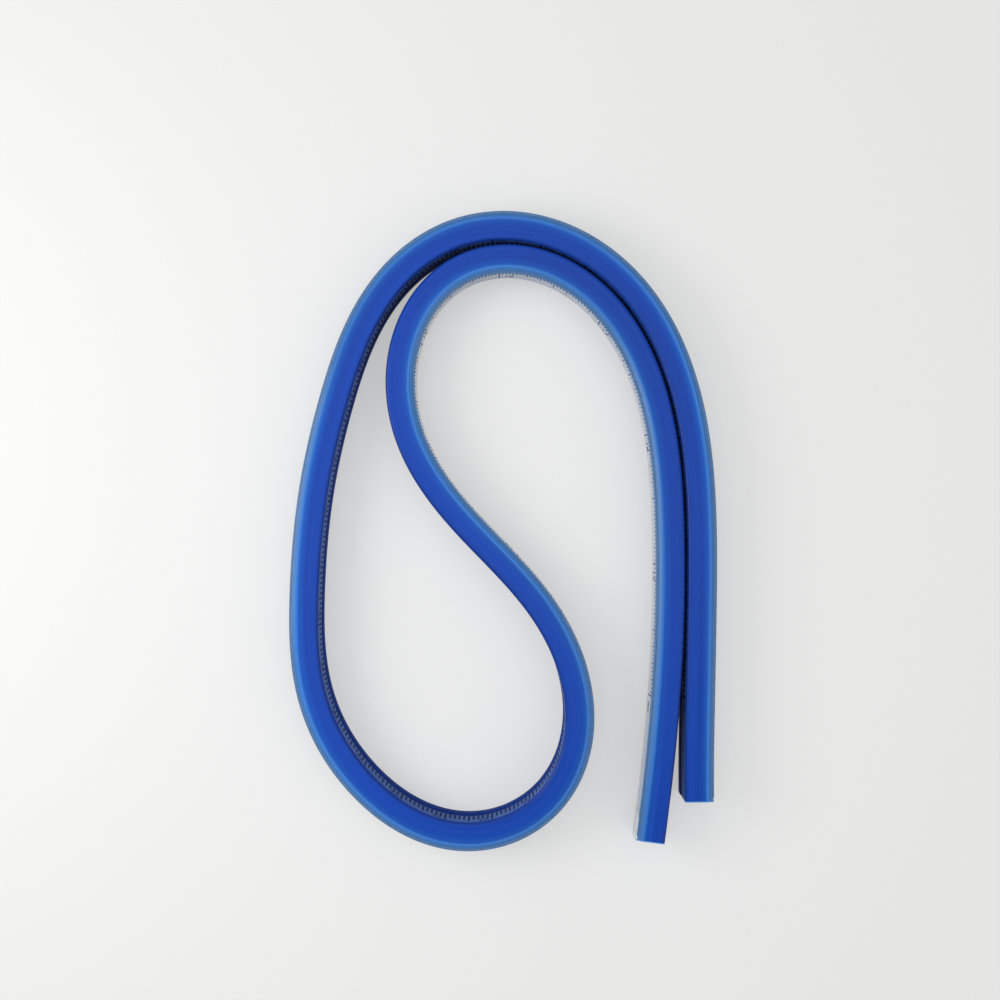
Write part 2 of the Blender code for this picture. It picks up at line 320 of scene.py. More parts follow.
class StageSettings(bpy.types.PropertyGroup):
    """Floor, light and camera."""

    floor: colour("Floor", "Pale plain floor", (0.86, 0.86, 0.855))
    floor_size: metres("Floor size", "Side of the floor", 12.0)
    view_x: metres("View x", "What the camera looks straight down at", -0.00059)
    view_y: metres("View y", "What the camera looks straight down at", 0.0059)
    distance: metres("Distance", "From the camera to the crown", 0.268)
    picture_width: metres("Picture width", "What the picture takes in", 0.18945)
    sensor: bpy.props.FloatProperty(name="Sensor", description="In millimetres", default=36.0)
    shadow_fill: bpy.props.FloatProperty(
        name="Shadow fill", description="How much the shadow on the floor is softened", default=0.5
    )
    world: bpy.props.FloatProperty(name="World", description="Strength of the sky", default=0.5)


class Route:
    """The neutral axis: position and heading at any length along the ruler."""

    def __init__(self, sizes):
        self.length = sizes.ruler_length
        step = self.length / route_steps
        x, y = 0.0, 0.0
        heading = math.radians(start_heading_degrees)
        self.points = [(x, y, heading)]
        for index in range(route_steps):
            turn = math.radians(self.rate_at((index + 0.5) / route_steps)) / route_steps
            middle = heading + turn / 2
            x += math.cos(middle) * step
            y += math.sin(middle) * step
            heading += turn
            self.points.append((x, y, heading))
        self.centre(sizes.ledge, -sizes.base_band)

    @staticmethod
    def rate_at(share):
        place = share * (len(turn_rates) - 1)
        low = min(int(place), len(turn_rates) - 2)
        part = place - low
        return turn_rates[low] * (1 - part) + turn_rates[low + 1] * part

    def centre(self, *widths):
        """Move the route so that the middle of the ruler's outline lies over the origin."""
        outline = []
        for x, y, heading in self.points:
            for width in widths:
                outline.append((x - math.sin(heading) * width, y + math.cos(heading) * width))
        middle_x = (min(p[0] for p in outline) + max(p[0] for p in outline)) / 2
        middle_y = (min(p[1] for p in outline) + max(p[1] for p in outline)) / 2
        self.points = [(x - middle_x, y - middle_y, h) for x, y, h in self.points]

    def at(self, length):
        place = length / self.length * route_steps
        low = max(0, min(int(place), route_steps - 1))
        part = place - low
        return tuple(a + (b - a) * part for a, b in zip(self.points[low], self.points[low + 1]))

    def axes(self, length):
        """Place, forward and left at a length."""
        x, y, heading = self.at(length)
        forward = Vector((math.cos(heading), math.sin(heading), 0.0))
        left = Vector((-math.sin(heading), math.cos(heading), 0.0))
        return Vector((x, y, 0.0)), forward, left

    def nearest(self, x, y):
        """The length nearest to a place. It stops the script where the route misses the place."""
        gaps = [math.hypot(p[0] - x, p[1] - y) for p in self.points]
        best = gaps.index(min(gaps))
        if gaps[best] > hinge_tolerance:
            raise RuntimeError("The route in scene.py doesn't run through the CAD's hinges")
        return best / route_steps * self.length


class Reach:
    """One piece's stretch of the ruler, with the two links that it bends between."""

    def __init__(self, number, start, end, blend_start, blend_end):
        self.number = number
        self.start = start
        self.end = end
        self.blend_start = blend_start
        self.blend_end = blend_end
        self.links = (f"link_{number:02d}", f"link_{number + 1:02d}")


def hinge_lengths(route):
    """Where the hinges are along the ruler, from the frame, in order."""
    lengths = {}
    for joint in frame["joints"]:
        numbers = sorted(int(joint[end].split("_")[1]) for end in ("parent", "child"))
        lengths[numbers[0]] = route.nearest(*joint["pos_m"][:2])
    return [lengths[number] for number in sorted(lengths)]


def reaches(route, sizes, end_room):
    """The stretches from link to link. The first and the last run on to the ruler's ends."""
    ends = [0.0] + hinge_lengths(route) + [route.length]
    middles = [(a + b) / 2 for a, b in zip(ends, ends[1:])]
    found = []
    last = len(middles) - 1
    for number in range(1, len(middles)):
        low, high = middles[number - 1], middles[number]
        turn = abs(route.at(high)[2] - route.at(low)[2])
        inset = sizes.ledge * math.sin(min(turn, math.pi) / 2)
        start = end_room if number == 1 else low
        end = route.length - end_room if number == last else high
        blend_start, blend_end = low + inset, high - inset
        if number == last:
            # A tip that bends over its whole link would bulge into the inner arm.
            blend_start = max(blend_start, ends[number] - sizes.tip_bend)
            blend_end = min(blend_end, ends[number] + sizes.tip_bend)
        found.append(Reach(number, start, end, blend_start, blend_end))
    return found


def finish_piece(piece, reach, route, replaced=()):
    """Bake a finished piece's transform into its mesh, and hide the CAD nodes that it replaces."""
    start = route.axes(reach.blend_start)[0]
    end = route.axes(reach.blend_end)[0]
    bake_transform(piece)
    if replaced:
        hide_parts(*replaced)


def nodes_of(kind, reach):
    """The CAD nodes of a kind that a piece stands for: its first link's, and at the end both."""
    names = [f"{kind}_{reach.number:02d}"]
    final = f"{kind}_{reach.number + 2:02d}"
    if final not in frame["nodes"]:
        names.append(f"{kind}_{reach.number + 1:02d}")
    return names


def arc(across, up, radius, start, end, count):
    """Points on a quarter round or less, from one angle to another in degrees."""
    points = []
    for index in range(count + 1):
        angle = math.radians(start + (end - start) * index / count)
        points.append((across + radius * math.cos(angle), up + radius * math.sin(angle)))
    return points


class Outline:
    """A closed section: points across and up, with each side's material and its sharp corners."""

    def __init__(self):
        self.points = []
        self.sides = []
        self.sharp = set()

    def run(self, points, material, sharp=False):
        """Add points. The sides that begin at them get the material."""
        if sharp:
            self.sharp.add(len(self.points))
        self.points += points
        self.sides += [material] * len(points)

    def normals(self):
        """For each side, its normals at its first and at its last point."""
        count = len(self.points)
        flat = []
        for index in range(count):
            a, b = self.points[index], self.points[(index + 1) % count]
            across, up = b[0] - a[0], b[1] - a[1]
            size = math.hypot(across, up)
            flat.append((-up / size, across / size))
        pairs = []
        for index in range(count):
            pair = []
            for corner, other in ((index, index - 1), ((index + 1) % count, (index + 1) % count)):
                here, there = flat[index], flat[other % count]
                if corner in self.sharp:
                    there = here
                mean = (here[0] + there[0], here[1] + there[1])
                size = math.hypot(*mean)
                pair.append((mean[0] / size, mean[1] / size))
            pairs.append(pair)
        return pairs


def ring_lengths(start, end, step, zones):
    """Where a swept piece's rings stand: evenly spaced, and wherever a zone begins or ends."""
    steps = max(1, math.ceil((end - start) / step))
    lengths = {start + (end - start) * index / steps for index in range(steps + 1)}
    return sorted(lengths | {edge for zone in zones for edge in zone[:2] if start < edge < end})


def end_triangles(outlines):
    """Triangles that close an end round any inner outline, by points' numbers, facing forward."""
    flat = [[Vector((*point, 0.0)) for point in outline.points] for outline in outlines]
    section = [point for outline in flat for point in outline]
    triangles = []
    for triangle in tessellate_polygon(flat):
        a, b, c = (section[index] for index in triangle)
        # Left and up span the section, so a triangle that turns from left to up faces forward.
        faces_forward = (b - a).cross(c - a).z > 0
        triangles.append(triangle if faces_forward else triangle[::-1])
    return triangles


def sweep(name, outlines, route, start, end, sizes, materials, zones=()):
    """Sweep closed outlines along the route. The ends are closed, round any inner outline.

    A zone is a start, an end and a material that its sides have in place of the outline's.
    """
    lengths = ring_lengths(start, end, sizes.ring, zones)
    axes = [route.axes(length) for length in lengths]
    section = [point for outline in outlines for point in outline.points]
    points, faces, kinds, normals = [], [], [], []
    for place, _, left in axes:
        for width, level in section:
            points.append(place + left * width + Vector((0.0, 0.0, level)))
    stride = len(section)
    last = len(lengths) - 1
    offset = 0
    for outline in outlines:
        count = len(outline.points)
        pairs = outline.normals()
        for ring in range(last):
            low = ring * stride + offset
            high = low + stride
            middle = (lengths[ring] + lengths[ring + 1]) / 2
            own = [kind for zone_low, zone_high, kind in zones if zone_low < middle < zone_high]
            kinds += [own[0]] * count if own else outline.sides
            for index, pair in enumerate(pairs):
                after = (index + 1) % count
                faces.append((low + index, high + index, high + after, low + after))
                for side, corner in ((0, 0), (1, 0), (1, 1), (0, 1)):
                    width, level = pair[corner]
                    normals.append(axes[ring + side][2] * width + Vector((0.0, 0.0, level)))
        offset += count
    for ring, sign in ((0, -1), (last, 1)):
        for triangle in end_triangles(outlines):
            faces.append([ring * stride + index for index in triangle[::sign]])
            kinds.append(zones[0][2] if zones else outlines[0].sides[0])
            normals += [axes[ring][1] * sign] * 3
    mesh = bpy.data.meshes.new(name)
    mesh.from_pydata(points, [], faces)
    used = sorted(set(kinds))
    for kind in used:
        mesh.materials.append(materials[kind])
    mesh.polygons.foreach_set("material_index", [used.index(kind) for kind in kinds])
    mesh.polygons.foreach_set("use_smooth", [True] * len(faces))
    across = [width for _ in lengths for width, _ in section]
    along = [length for length in lengths for _ in section]
    for attribute, values in (("across", across), ("along", along)):
        mesh.attributes.new(attribute, "FLOAT", "POINT").data.foreach_set("value", values)
    mesh.normals_split_custom_set(normals)
    mesh.update()
    piece = bpy.data.objects.new(name, mesh)
    bpy.context.scene.collection.objects.link(piece)
    return piece


def crown_points(sizes, height):
    """The crown from its side B corner to the arris: two shallow hollows, as extruded."""
    low = -sizes.metric_wall + sizes.corner
    high = sizes.arris - sizes.arris_width / 2
    points = []
    for index in range(crown_steps + 1):
        share = index / crown_steps
        hollow = 1 - abs(math.cos(share * 2 * math.pi)) * hollow_share
        points.append((low + (high - low) * share, height - sizes.crown_drop * hollow))
    return points


def sheath_outline(sizes, height):
    """The sheath's section, from the base of side B over the crown to the base of side A."""
    small, corner = sizes.small_corner, sizes.corner
    band, groove, printed = -sizes.base_band, -sizes.groove_wall, -sizes.metric_wall
    outline = Outline()
    outline.run([(band + small, 0.0)], "band_vinyl")
    outline.run(arc(band + small, small, small, 270, 180, base_round_steps)[1:], "band_vinyl")
    outline.run([(band, sizes.band_top - small / 2)], "band_vinyl")
    outline.run([(band + small / 2, sizes.band_top)], "groove_vinyl")
    outline.run([(groove, sizes.band_top + small / 2)], "groove_vinyl", sharp=True)
    outline.run([(groove, sizes.print_low - small / 2)], "groove_vinyl", sharp=True)
    outline.run([(printed, sizes.print_low)], "band_vinyl", sharp=True)
    outline.run([(printed, sizes.print_foot)], "printed_wall")
    shoulder = height - sizes.crown_drop / 2 - corner
    rounding = arc(printed + corner, shoulder, corner, 180, 90, crown_round_steps)
    outline.run(rounding[:-1], "crown_vinyl")
    outline.run(crown_points(sizes, height), "crown_vinyl")
    half = sizes.arris_width / 2
    drop = sizes.shoulder_drop
    for sign in (-1, 1):
        outline.run([(sizes.arris + sign * half * arris_flat_share, height)], "shoulder_vinyl")
    outline.run([(sizes.arris + half, height - drop * arris_drop_share)], "shoulder_vinyl")
    edge = sizes.inch_wall - small
    middle = (sizes.arris + half + edge) / 2
    outline.run([(middle, height - drop * shoulder_share)], "shoulder_vinyl")
    rounding = arc(edge, height - drop - small, small, *shoulder_arc, edge_round_steps)
    outline.run(rounding, "backing_vinyl")
    outline.run([(sizes.inch_wall, sizes.ledge_low)], "band_vinyl", sharp=True)
    outline.run([(sizes.inch_base, sizes.ledge_low)], "band_vinyl", sharp=True)
    outline.run([(sizes.inch_base, small)], "band_vinyl")
    foot = arc(sizes.inch_base - small, small, small, 0, -90, base_round_steps)
    outline.run(foot[1:], "band_vinyl")
    return outline


def bore_outline(sizes, height):
    """The bore's section, the other way round, so that its faces look into it."""
    outline = Outline()
    half = sizes.bore
    low, high = sizes.wall, height - sizes.wall
    for point in ((-half, low), (half, low), (half, high), (-half, high)):
        outline.run([point], "bore_vinyl", sharp=True)
    return outline


def bar_outline(low, high, low_level, high_level, corner, material):
    """A bar's section with small rounded corners."""
    outline = Outline()
    corners = (
        (low + corner, low_level + corner, 270, 180),
        (low + corner, high_level - corner, 180, 90),
        (high - corner, high_level - corner, 90, 0),
        (high - corner, low_level + corner, 0, -90),
    )
    for across, up, start, end in corners:
        outline.run(arc(across, up, corner, start, end, bar_round_steps), material)
    return outline


def ledge_outline(sizes, height):
    """The clear ledge's section: its root on side A's wall, and a face that leans outwards."""
    outline = Outline()
    edge = sizes.ledge_edge
    root = sizes.inch_wall + sizes.seam
    top = height - sizes.ledge_fall
    outline.run([(root, sizes.ledge_low)], "clear_vinyl", sharp=True)
    outline.run([(root, top)], "shoulder_vinyl", sharp=True)
    rounding = arc(sizes.ledge_top - edge, top - edge, edge, *ledge_top_arc, edge_round_steps)
    outline.run(rounding[:-1], "shoulder_vinyl")
    outline.run(rounding[-1:], "clear_vinyl")
    low = sizes.ledge_low + edge
    foot = arc(sizes.ledge - edge, low, edge, *ledge_foot_arc, base_round_steps)
    outline.run(foot, "clear_vinyl")
    return outline


def end_outline(sizes, height):
    """A sealed end's section: the whole sheath with its ledge, pressed flat and closed."""
    outline = sheath_outline(sizes, height)
    ledge = ledge_outline(sizes, height)
    cut = outline.points.index((sizes.inch_wall, sizes.ledge_low))
    reach = sizes.inch_wall - sizes.seam
    keep = sum(across < reach for across, _ in outline.points[:cut])
    pressed = ledge.points[2:]
    whole = Outline()
    # The pressed ledge gets the pale finish that partly paints a reflection of light.
    whole.run(outline.points[:keep] + pressed + outline.points[cut:], "frosted_vinyl")
    whole.sides[:keep] = outline.sides[:keep]
    whole.sides[keep + len(pressed):] = outline.sides[cut:]
    return whole


class Finish:
    """A procedural material under construction."""

    def __init__(self, name, sockets):
        self.material = bpy.data.materials.new(name)
        self.material.use_nodes = True
        self.nodes = self.material.node_tree.nodes
        self.links = self.material.node_tree.links
        self.shader = self.nodes["Principled BSDF"]
        for socket, value in sockets.items():
            self.shade(socket, value)

    def feed(self, socket, value):
        """Give a socket another node's output, or a value of its own."""
        if hasattr(value, "is_output"):
            self.links.new(value, socket)
        else:
            socket.default_value = (*value, 1.0) if socket.type == "RGBA" else value

    def shade(self, socket, value):
        """Feed one of the shader's sockets."""
        self.feed(self.shader.inputs[socket], value)

    def wire(self, kind, output, values, **settings):
        """Make a node, feed its inputs by name or number, and give one of its outputs."""
        made = self.nodes.new(kind)
        for name, value in settings.items():
            setattr(made, name, value)
        for socket, value in values.items():
            self.feed(made.inputs[socket], value)
        return made.outputs[output]

    def math(self, operation, *values):
        return self.wire("ShaderNodeMath", 0, dict(enumerate(values)), operation=operation)

    def attribute(self, name):
        return self.wire("ShaderNodeAttribute", "Fac", {}, attribute_name=name)

    def coordinates(self):
        return self.wire("ShaderNodeTexCoord", "Object", {})

    def level(self):
        """The height over the floor."""
        return self.wire("ShaderNodeSeparateXYZ", "Z", {0: self.coordinates()})

    def surface_place(self, *scales):
        """A pattern's place that follows the ruler: along it, across it and up."""
        sources = (self.attribute("along"), self.attribute("across"), self.level())
        scaled = [self.math("MULTIPLY", *pair) for pair in zip(sources, scales)]
        return self.wire("ShaderNodeCombineXYZ", 0, dict(enumerate(scaled)))

    def noise(self, place, scale=1.0, detail=3.0):
        values = {"Vector": place, "Scale": scale, "Detail": detail}
        return self.wire("ShaderNodeTexNoise", "Fac", values)

    def spread(self, source, low, high, to_low, to_high):
        """A value's place between low and high, as one between two other values."""
        names = ("Value", "From Min", "From Max", "To Min", "To Max")
        values = dict(zip(names, (source, low, high, to_low, to_high)))
        return self.wire("ShaderNodeMapRange", "Result", values)

    def ramp(self, source, stops):
        """Colours at places from 0 to 1."""
        made = self.nodes.new("ShaderNodeValToRGB")
        elements = made.color_ramp.elements
        while len(elements) < len(stops):
            elements.new(1.0)
        for element, (place, value) in zip(elements, stops):
            element.position = place
            element.color = (*value, 1.0)
        self.feed(made.inputs["Fac"], source)
        return made.outputs["Color"]

    def mix(self, factor, first, second, blend="MIX"):
        values = {"Factor": factor, "A": first, "B": second}
        return self.wire("ShaderNodeMix", "Result", values, data_type="RGBA", blend_type=blend)

    def turn_to(self, share, value):
        """Turn the base colour towards another one."""
        base = self.shader.inputs["Base Color"]
        self.feed(base, self.mix(share, base.links[0].from_socket, value))

    def roughen(self, pattern, roughness, shares, bump):
        """Let gloss and surface follow a pattern."""
        low, high = shares
        self.shade("Roughness", self.spread(pattern, *noise_range, roughness * low, roughness * high))
        values = {"Strength": bump, "Distance": bump_depth, "Height": pattern}
        self.shade("Normal", self.wire("ShaderNodeBump", "Normal", values))


def plain(name, value, roughness, speckle, bump, sockets):
    """A plain material with fine unevenness in its colour, gloss and surface."""
    finish = Finish(name, sockets)
    place = finish.surface_place(fine_grain / grain_stretch, fine_grain, fine_grain)
    grain = finish.noise(place, detail=grain_detail)
    dark = tuple(part * (1 - speckle) for part in value)
    light = tuple(min(1.0, part * (1 + speckle)) for part in value)
    finish.shade("Base Color", finish.mix(grain, dark, light))
    finish.roughen(grain, roughness, grain_gloss_shares, bump)
    return finish


def milky(finish, sizes, frost):
    """Make the clear vinyl milky and pale near the ruler's ends: sealed vinyl with a painted reflection
    of light in the clear ends.
    """
    along = finish.attribute("along")
    streaks = finish.noise(finish.surface_place(streak_along, streak_across, fine_grain))
    uneven = finish.spread(streaks, *noise_range, 0.0, sizes.frost * frost_glint_uneven_share)
    shares = []
    for sign, offset in ((1.0, 0.0), (-1.0, sizes.ruler_length)):
        distance = finish.math("MULTIPLY_ADD", along, sign, offset)
        ragged = finish.math("ADD", distance, uneven)
        full = sizes.frost * frost_glint_full_share
        shares.append(finish.spread(ragged, full, sizes.frost, 1.0, 0.0))
    either = finish.math("MAXIMUM", *shares)
    finish.turn_to(either, frost)
    finish.shade("Alpha", finish.spread(either, 0.0, 1.0, clear_alpha, frost_glint_alpha))


def banded(name, sizes, stops, roughness, streak, sockets):
    """Extruded vinyl: colours by the width across the ruler, with long streaks along it."""
    finish = Finish(name, sockets)
    across = finish.attribute("across")
    share = finish.spread(across, -sizes.metric_wall, sizes.inch_wall, 0.0, 1.0)
    streaks = finish.noise(finish.surface_place(streak_along, streak_across, streak_across))
    drift = finish.math("MULTIPLY_ADD", streaks, streak_drift, share)
    span = sizes.inch_wall + sizes.metric_wall
    placed = []
    for width, value in stops:
        placed.append(((width + sizes.metric_wall) / span + streak_drift / 2, value))
    light = finish.spread(streaks, *noise_range, 1 - streak, 1 + streak)
    mixed = finish.mix(1.0, finish.ramp(drift, placed), light, "MULTIPLY")
    finish.shade("Base Color", mixed)
    finish.roughen(streaks, roughness, streak_gloss_shares, streak_bump)
    return finish


def colour_stops(name, sizes, colours):
    """Where the colours of an extruded band change, from side B to side A."""
    if name == "crown_vinyl":
        low, high = sizes.metric_wall, sizes.arris - sizes.arris_width / 2
        # From side B: painted shade on the rounded corner, deep blue, paler blue towards the shoulder,
        # and the arris.
        return [
            (-low * crown_edge_shade_share, colours.crown_edge),
            (-low * crown_start_share, colours.crown),
            (low * crown_end_share, colours.crown),
            (sizes.tint * tint_start_share, colours.crown_pale),
            (sizes.tint, colours.tint),
            # The arris stop is partly a painted highlight.
            (high, colours.arris),
        ]
    return [
        # The arris stop is partly a painted highlight.
        (sizes.arris, colours.arris),
        (sizes.arris + sizes.arris_width, colours.shoulder),
        (sizes.inch_wall - sizes.arris_width, colours.shoulder),
        (sizes.inch_wall, colours.shoulder_edge),
    ]


def build_finish(name, sizes, colours):
    """Build one of the ruler's materials by its name."""
    if name in banded_finishes:
        stops = colour_stops(name, sizes, colours)
        return banded(name, sizes, stops, *banded_finishes[name])
    own, *values = plain_finishes[name]
    finish = plain(name, getattr(colours, own), *values)
    if name in risen_finish_shares:
        above, shares = risen_finish_shares[name]
        levels = [share * cad_high[2] for share in shares]
        share = finish.spread(finish.level(), *levels, 0.0, 1.0)
        finish.turn_to(share, getattr(colours, above))
    # The ledge's ends are painted paler, as a reflection of light in them.
    if name == "clear_vinyl":
        milky(finish, sizes, colours.frost)
    return finish


class Finishes(dict):
    """The ruler's materials, each built when it is first asked for."""

    def __missing__(self, name):
        known = bpy.data.materials.get(name)
        scene = bpy.context.scene
        made = known or build_finish(name, scene.ruler_sizes, scene.ruler_colours).material
        self[name] = made
        return made


def marks_tree():
    """Geometry Nodes: a thin box of ink at each point, turned and stretched as the point says."""
    tree = bpy.data.node_groups.new("printed_marks", "GeometryNodeTree")
    face = tree.interface
    face.new_socket("Geometry", in_out="INPUT", socket_type="NodeSocketGeometry")
    for name in ("Mark width", "Ink thickness", "Mark length"):
        face.new_socket(name, in_out="INPUT", socket_type="NodeSocketFloat")
    face.new_socket("Ink", in_out="INPUT", socket_type="NodeSocketMaterial")
    face.new_socket("Geometry", in_out="OUTPUT", socket_type="NodeSocketGeometry")
    make = tree.nodes.new
    start = make("NodeGroupInput")
    end = make("NodeGroupOutput")
    cube = make("GeometryNodeMeshCube")
    size = make("ShaderNodeCombineXYZ")
    place = make("GeometryNodeInstanceOnPoints")
    turn = make("GeometryNodeInputNamedAttribute")
    rise = make("GeometryNodeInputNamedAttribute")
    stretch = make("ShaderNodeCombineXYZ")
    realize = make("GeometryNodeRealizeInstances")
    paint = make("GeometryNodeSetMaterial")
    for node, name, kind in ((turn, "turn", "FLOAT_VECTOR"), (rise, "rise", "FLOAT")):
        node.data_type = kind
        node.inputs["Name"].default_value = name
    for axis in "XY":
        stretch.inputs[axis].default_value = 1.0
    wires = (
        (start, "Mark width", size, "X"),
        (start, "Ink thickness", size, "Y"),
        (start, "Mark length", size, "Z"),
        (size, "Vector", cube, "Size"),
        (start, "Geometry", place, "Points"),
        (cube, "Mesh", place, "Instance"),
        (turn, "Attribute", place, "Rotation"),
        (rise, "Attribute", stretch, "Z"),
        (stretch, "Vector", place, "Scale"),
        (place, "Instances", realize, "Geometry"),
        (realize, "Geometry", paint, "Geometry"),
        (start, "Ink", paint, "Material"),
        (paint, "Geometry", end, "Geometry"),
    )
    for source, output, target, socket in wires:
        tree.links.new(source.outputs[output], target.inputs[socket])
    return tree


def evaluated_mesh(piece):
    """The plain mesh of an object as its modifiers and its outline make it."""
    graph = bpy.context.evaluated_depsgraph_get()
    return bpy.data.meshes.new_from_object(piece.evaluated_get(graph), depsgraph=graph)


class Face:
    """A printed wall: where it stands, how it leans and which way its writing runs."""

    def __init__(self, low, high, side):
        self.low = low
        self.high = high
        self.side = side
        self.lean = math.atan2((low[0] - high[0]) * side, high[1] - low[1])

    def width_at(self, level):
        share = (level - self.low[1]) / (self.high[1] - self.low[1])
        return self.low[0] + (self.high[0] - self.low[0]) * share

    def place(self, route, length, level, proud):
        """A place on the wall at a length and a level, standing proud of it."""
        middle, _, left = route.axes(length)
        return middle + left * (self.width_at(level) + proud * self.side) + Vector((0.0, 0.0, level))


def inch_face(sizes):
    top = cad_high[2] - sizes.ledge_fall
    edge = sizes.ledge_edge
    return Face((sizes.ledge, sizes.ledge_low + edge), (sizes.ledge_top, top - edge), 1)


def metric_face(sizes):
    return Face((-sizes.metric_wall, sizes.print_low), (-sizes.metric_wall, cad_high[2]), -1)


def scale_marks(zero, unit, units, line, sign, rows):
    """Each tick's length along the ruler, its low and high levels, and its number.

    The inch scale runs back along the ruler and hangs from its line, so its sign is -1. A row
    says at how many ticks a longer tick comes and how long it is. The first is for whole units.
    """
    marks = []
    ticks = rows[0][0]
    for count in range(units * ticks + 1):
        rise = next(rise for every, rise in rows if count % every == 0)
        number = count // ticks if count and count % ticks == 0 else None
        low, high = sorted((line, line + sign * rise))
        marks.append((zero + sign * count * unit / ticks, low, high, number))
    return marks


def inch_marks(sizes, scales):
    rows = (
        (ticks_per_inch, scales.inch_long),
        (ticks_per_inch // 2, scales.inch_half),
        (ticks_per_inch // 8, scales.inch_middle),
        (1, scales.inch_short),
    )
    zero = sizes.ruler_length - scales.inch_zero
    return scale_marks(zero, scales.inch, scales.inches, scales.inch_line, -1, rows)


def metric_marks(scales):
    rows = (
        (ticks_per_centimetre, scales.metric_long),
        (ticks_per_centimetre // 2, scales.metric_middle),
        (1, scales.metric_short),
    )
    zero, unit, line = scales.metric_zero, scales.centimetre, scales.metric_line
    return scale_marks(zero, unit, scales.centimetres, line, 1, rows)


def tick_mesh(name, marks, face, route, scales, width, tree, ink):
    """One link's ticks as a plain mesh, by way of the Geometry Nodes tree."""
    proud = (scales.ink - scales.ink_depth) / 2
    points, turns, rises = [], [], []
    for length, low, high, _ in marks:
        points.append(face.place(route, length, (low + high) / 2, proud))
        turns += [face.lean * face.side, 0.0, route.at(length)[2]]
        rises.append((high - low) / scales.inch_long)
    mesh = bpy.data.meshes.new(name)
    mesh.from_pydata(points, [], [])
    mesh.attributes.new("turn", "FLOAT_VECTOR", "POINT").data.foreach_set("vector", turns)
    mesh.attributes.new("rise", "FLOAT", "POINT").data.foreach_set("value", rises)
    piece = bpy.data.objects.new(name, mesh)
    bpy.context.scene.collection.objects.link(piece)
    modifier = piece.modifiers.new("marks", "NODES")
    modifier.node_group = tree
    values = {
        "Mark width": width,
        "Ink thickness": scales.ink + scales.ink_depth,
        "Mark length": scales.inch_long,
        "Ink": ink,
    }
    for socket in tree.interface.items_tree:
        if socket.in_out == "INPUT" and socket.name in values:
            modifier[socket.identifier] = values[socket.name]
    result = evaluated_mesh(piece)
    result.materials.clear()
    result.materials.append(ink)
    result.polygons.foreach_set("material_index", [0] * len(result.polygons))
    piece.modifiers.remove(modifier)
    piece.data = result
    bpy.data.meshes.remove(mesh)
    return piece


class Numerals:
    """Flat meshes of numbers, made once each from Blender's own font."""

    def __init__(self, height, ink):
        self.height = height
        self.ink = ink
        self.known = {}

    def mesh(self, number):
        if number not in self.known:
            curve = bpy.data.curves.new("numeral", "FONT")
            curve.body = str(number)
            curve.size = self.height * font_share
            curve.align_x = "CENTER"
            curve.resolution_u = numeral_steps
            curve.extrude = self.ink / 2
            curve.offset = self.height * numeral_weight
            item = bpy.data.objects.new("numeral", curve)
            bpy.context.scene.collection.objects.link(item)
            self.known[number] = evaluated_mesh(item)
            bpy.data.objects.remove(item)
        return self.known[number]

    def wrapped(self, marks, face, route, level, side_step):
        """Points and faces of the marks' numbers, wrapped round the wall beside their ticks."""
        points, faces = [], []
        for length, _, _, number in marks:
            if number is None:
                continue
            run = -face.side
            middle = length + run * side_step * (two_digit_share if number > 9 else 1.0)
            offset = len(points)
            source = self.mesh(number)
            for vertex in source.vertices:
                x, y, z = vertex.co
                points.append(face.place(route, middle + run * x, level + y, z + self.ink / 4))
            for polygon in source.polygons:
                faces.append([offset + index for index in polygon.vertices])
        return points, faces


def add_numerals(piece, points, faces, material):
    """Add the numbers to a link's ticks, in one mesh."""
    if not points:
        return
    mesh = bpy.data.meshes.new("numerals")
    mesh.from_pydata(points, [], faces)
    mesh.materials.append(material)
    mesh.polygons.foreach_set("use_smooth", [False] * len(faces))
    work = bmesh.new()
    work.from_mesh(piece.data)
    work.from_mesh(mesh)
    work.to_mesh(piece.data)
    work.free()
    bpy.data.meshes.remove(mesh)


def bore_levels(sizes, room):
    """Low and high level of a piece that has some room under and over it in the bore."""
    return sizes.wall + room, cad_high[2] - sizes.wall - room


def sweep_reaches(title, outlines, end_room, kind=None):
    """Sweep an outline from link to link, and hide the CAD nodes, where a kind is given, that each
    piece stands for.
    """
    sizes = bpy.context.scene.ruler_sizes
    route, finishes = Route(sizes), Finishes()
    for reach in reaches(route, sizes, end_room):
        name = f"{title}_{reach.number:02d}"
        piece = sweep(name, outlines, route, reach.start, reach.end, sizes, finishes)
        finish_piece(piece, reach, route, nodes_of(kind, reach) if kind else ())


class RULER_OT_sheath(bpy.types.Operator):
    """Build the hollow vinyl sheath from link to link"""

    bl_idname = "ruler.sheath"
    bl_label = "Vinyl sheath"

    def execute(self, context):
        sizes = context.scene.ruler_sizes
        outlines = [sheath_outline(sizes, cad_high[2]), bore_outline(sizes, cad_high[2])]
        sweep_reaches("vinyl_sheath", outlines, sizes.seal, "sheath")
        return {"FINISHED"}


class RULER_OT_ledge(bpy.types.Operator):
    """Build the clear inking ledge along side A"""

    bl_idname = "ruler.ledge"
    bl_label = "Clear inking ledge"

    def execute(self, context):
        sizes = context.scene.ruler_sizes
        outlines = [ledge_outline(sizes, cad_high[2])]
        sweep_reaches("clear_ledge", outlines, sizes.seal)
        return {"FINISHED"}


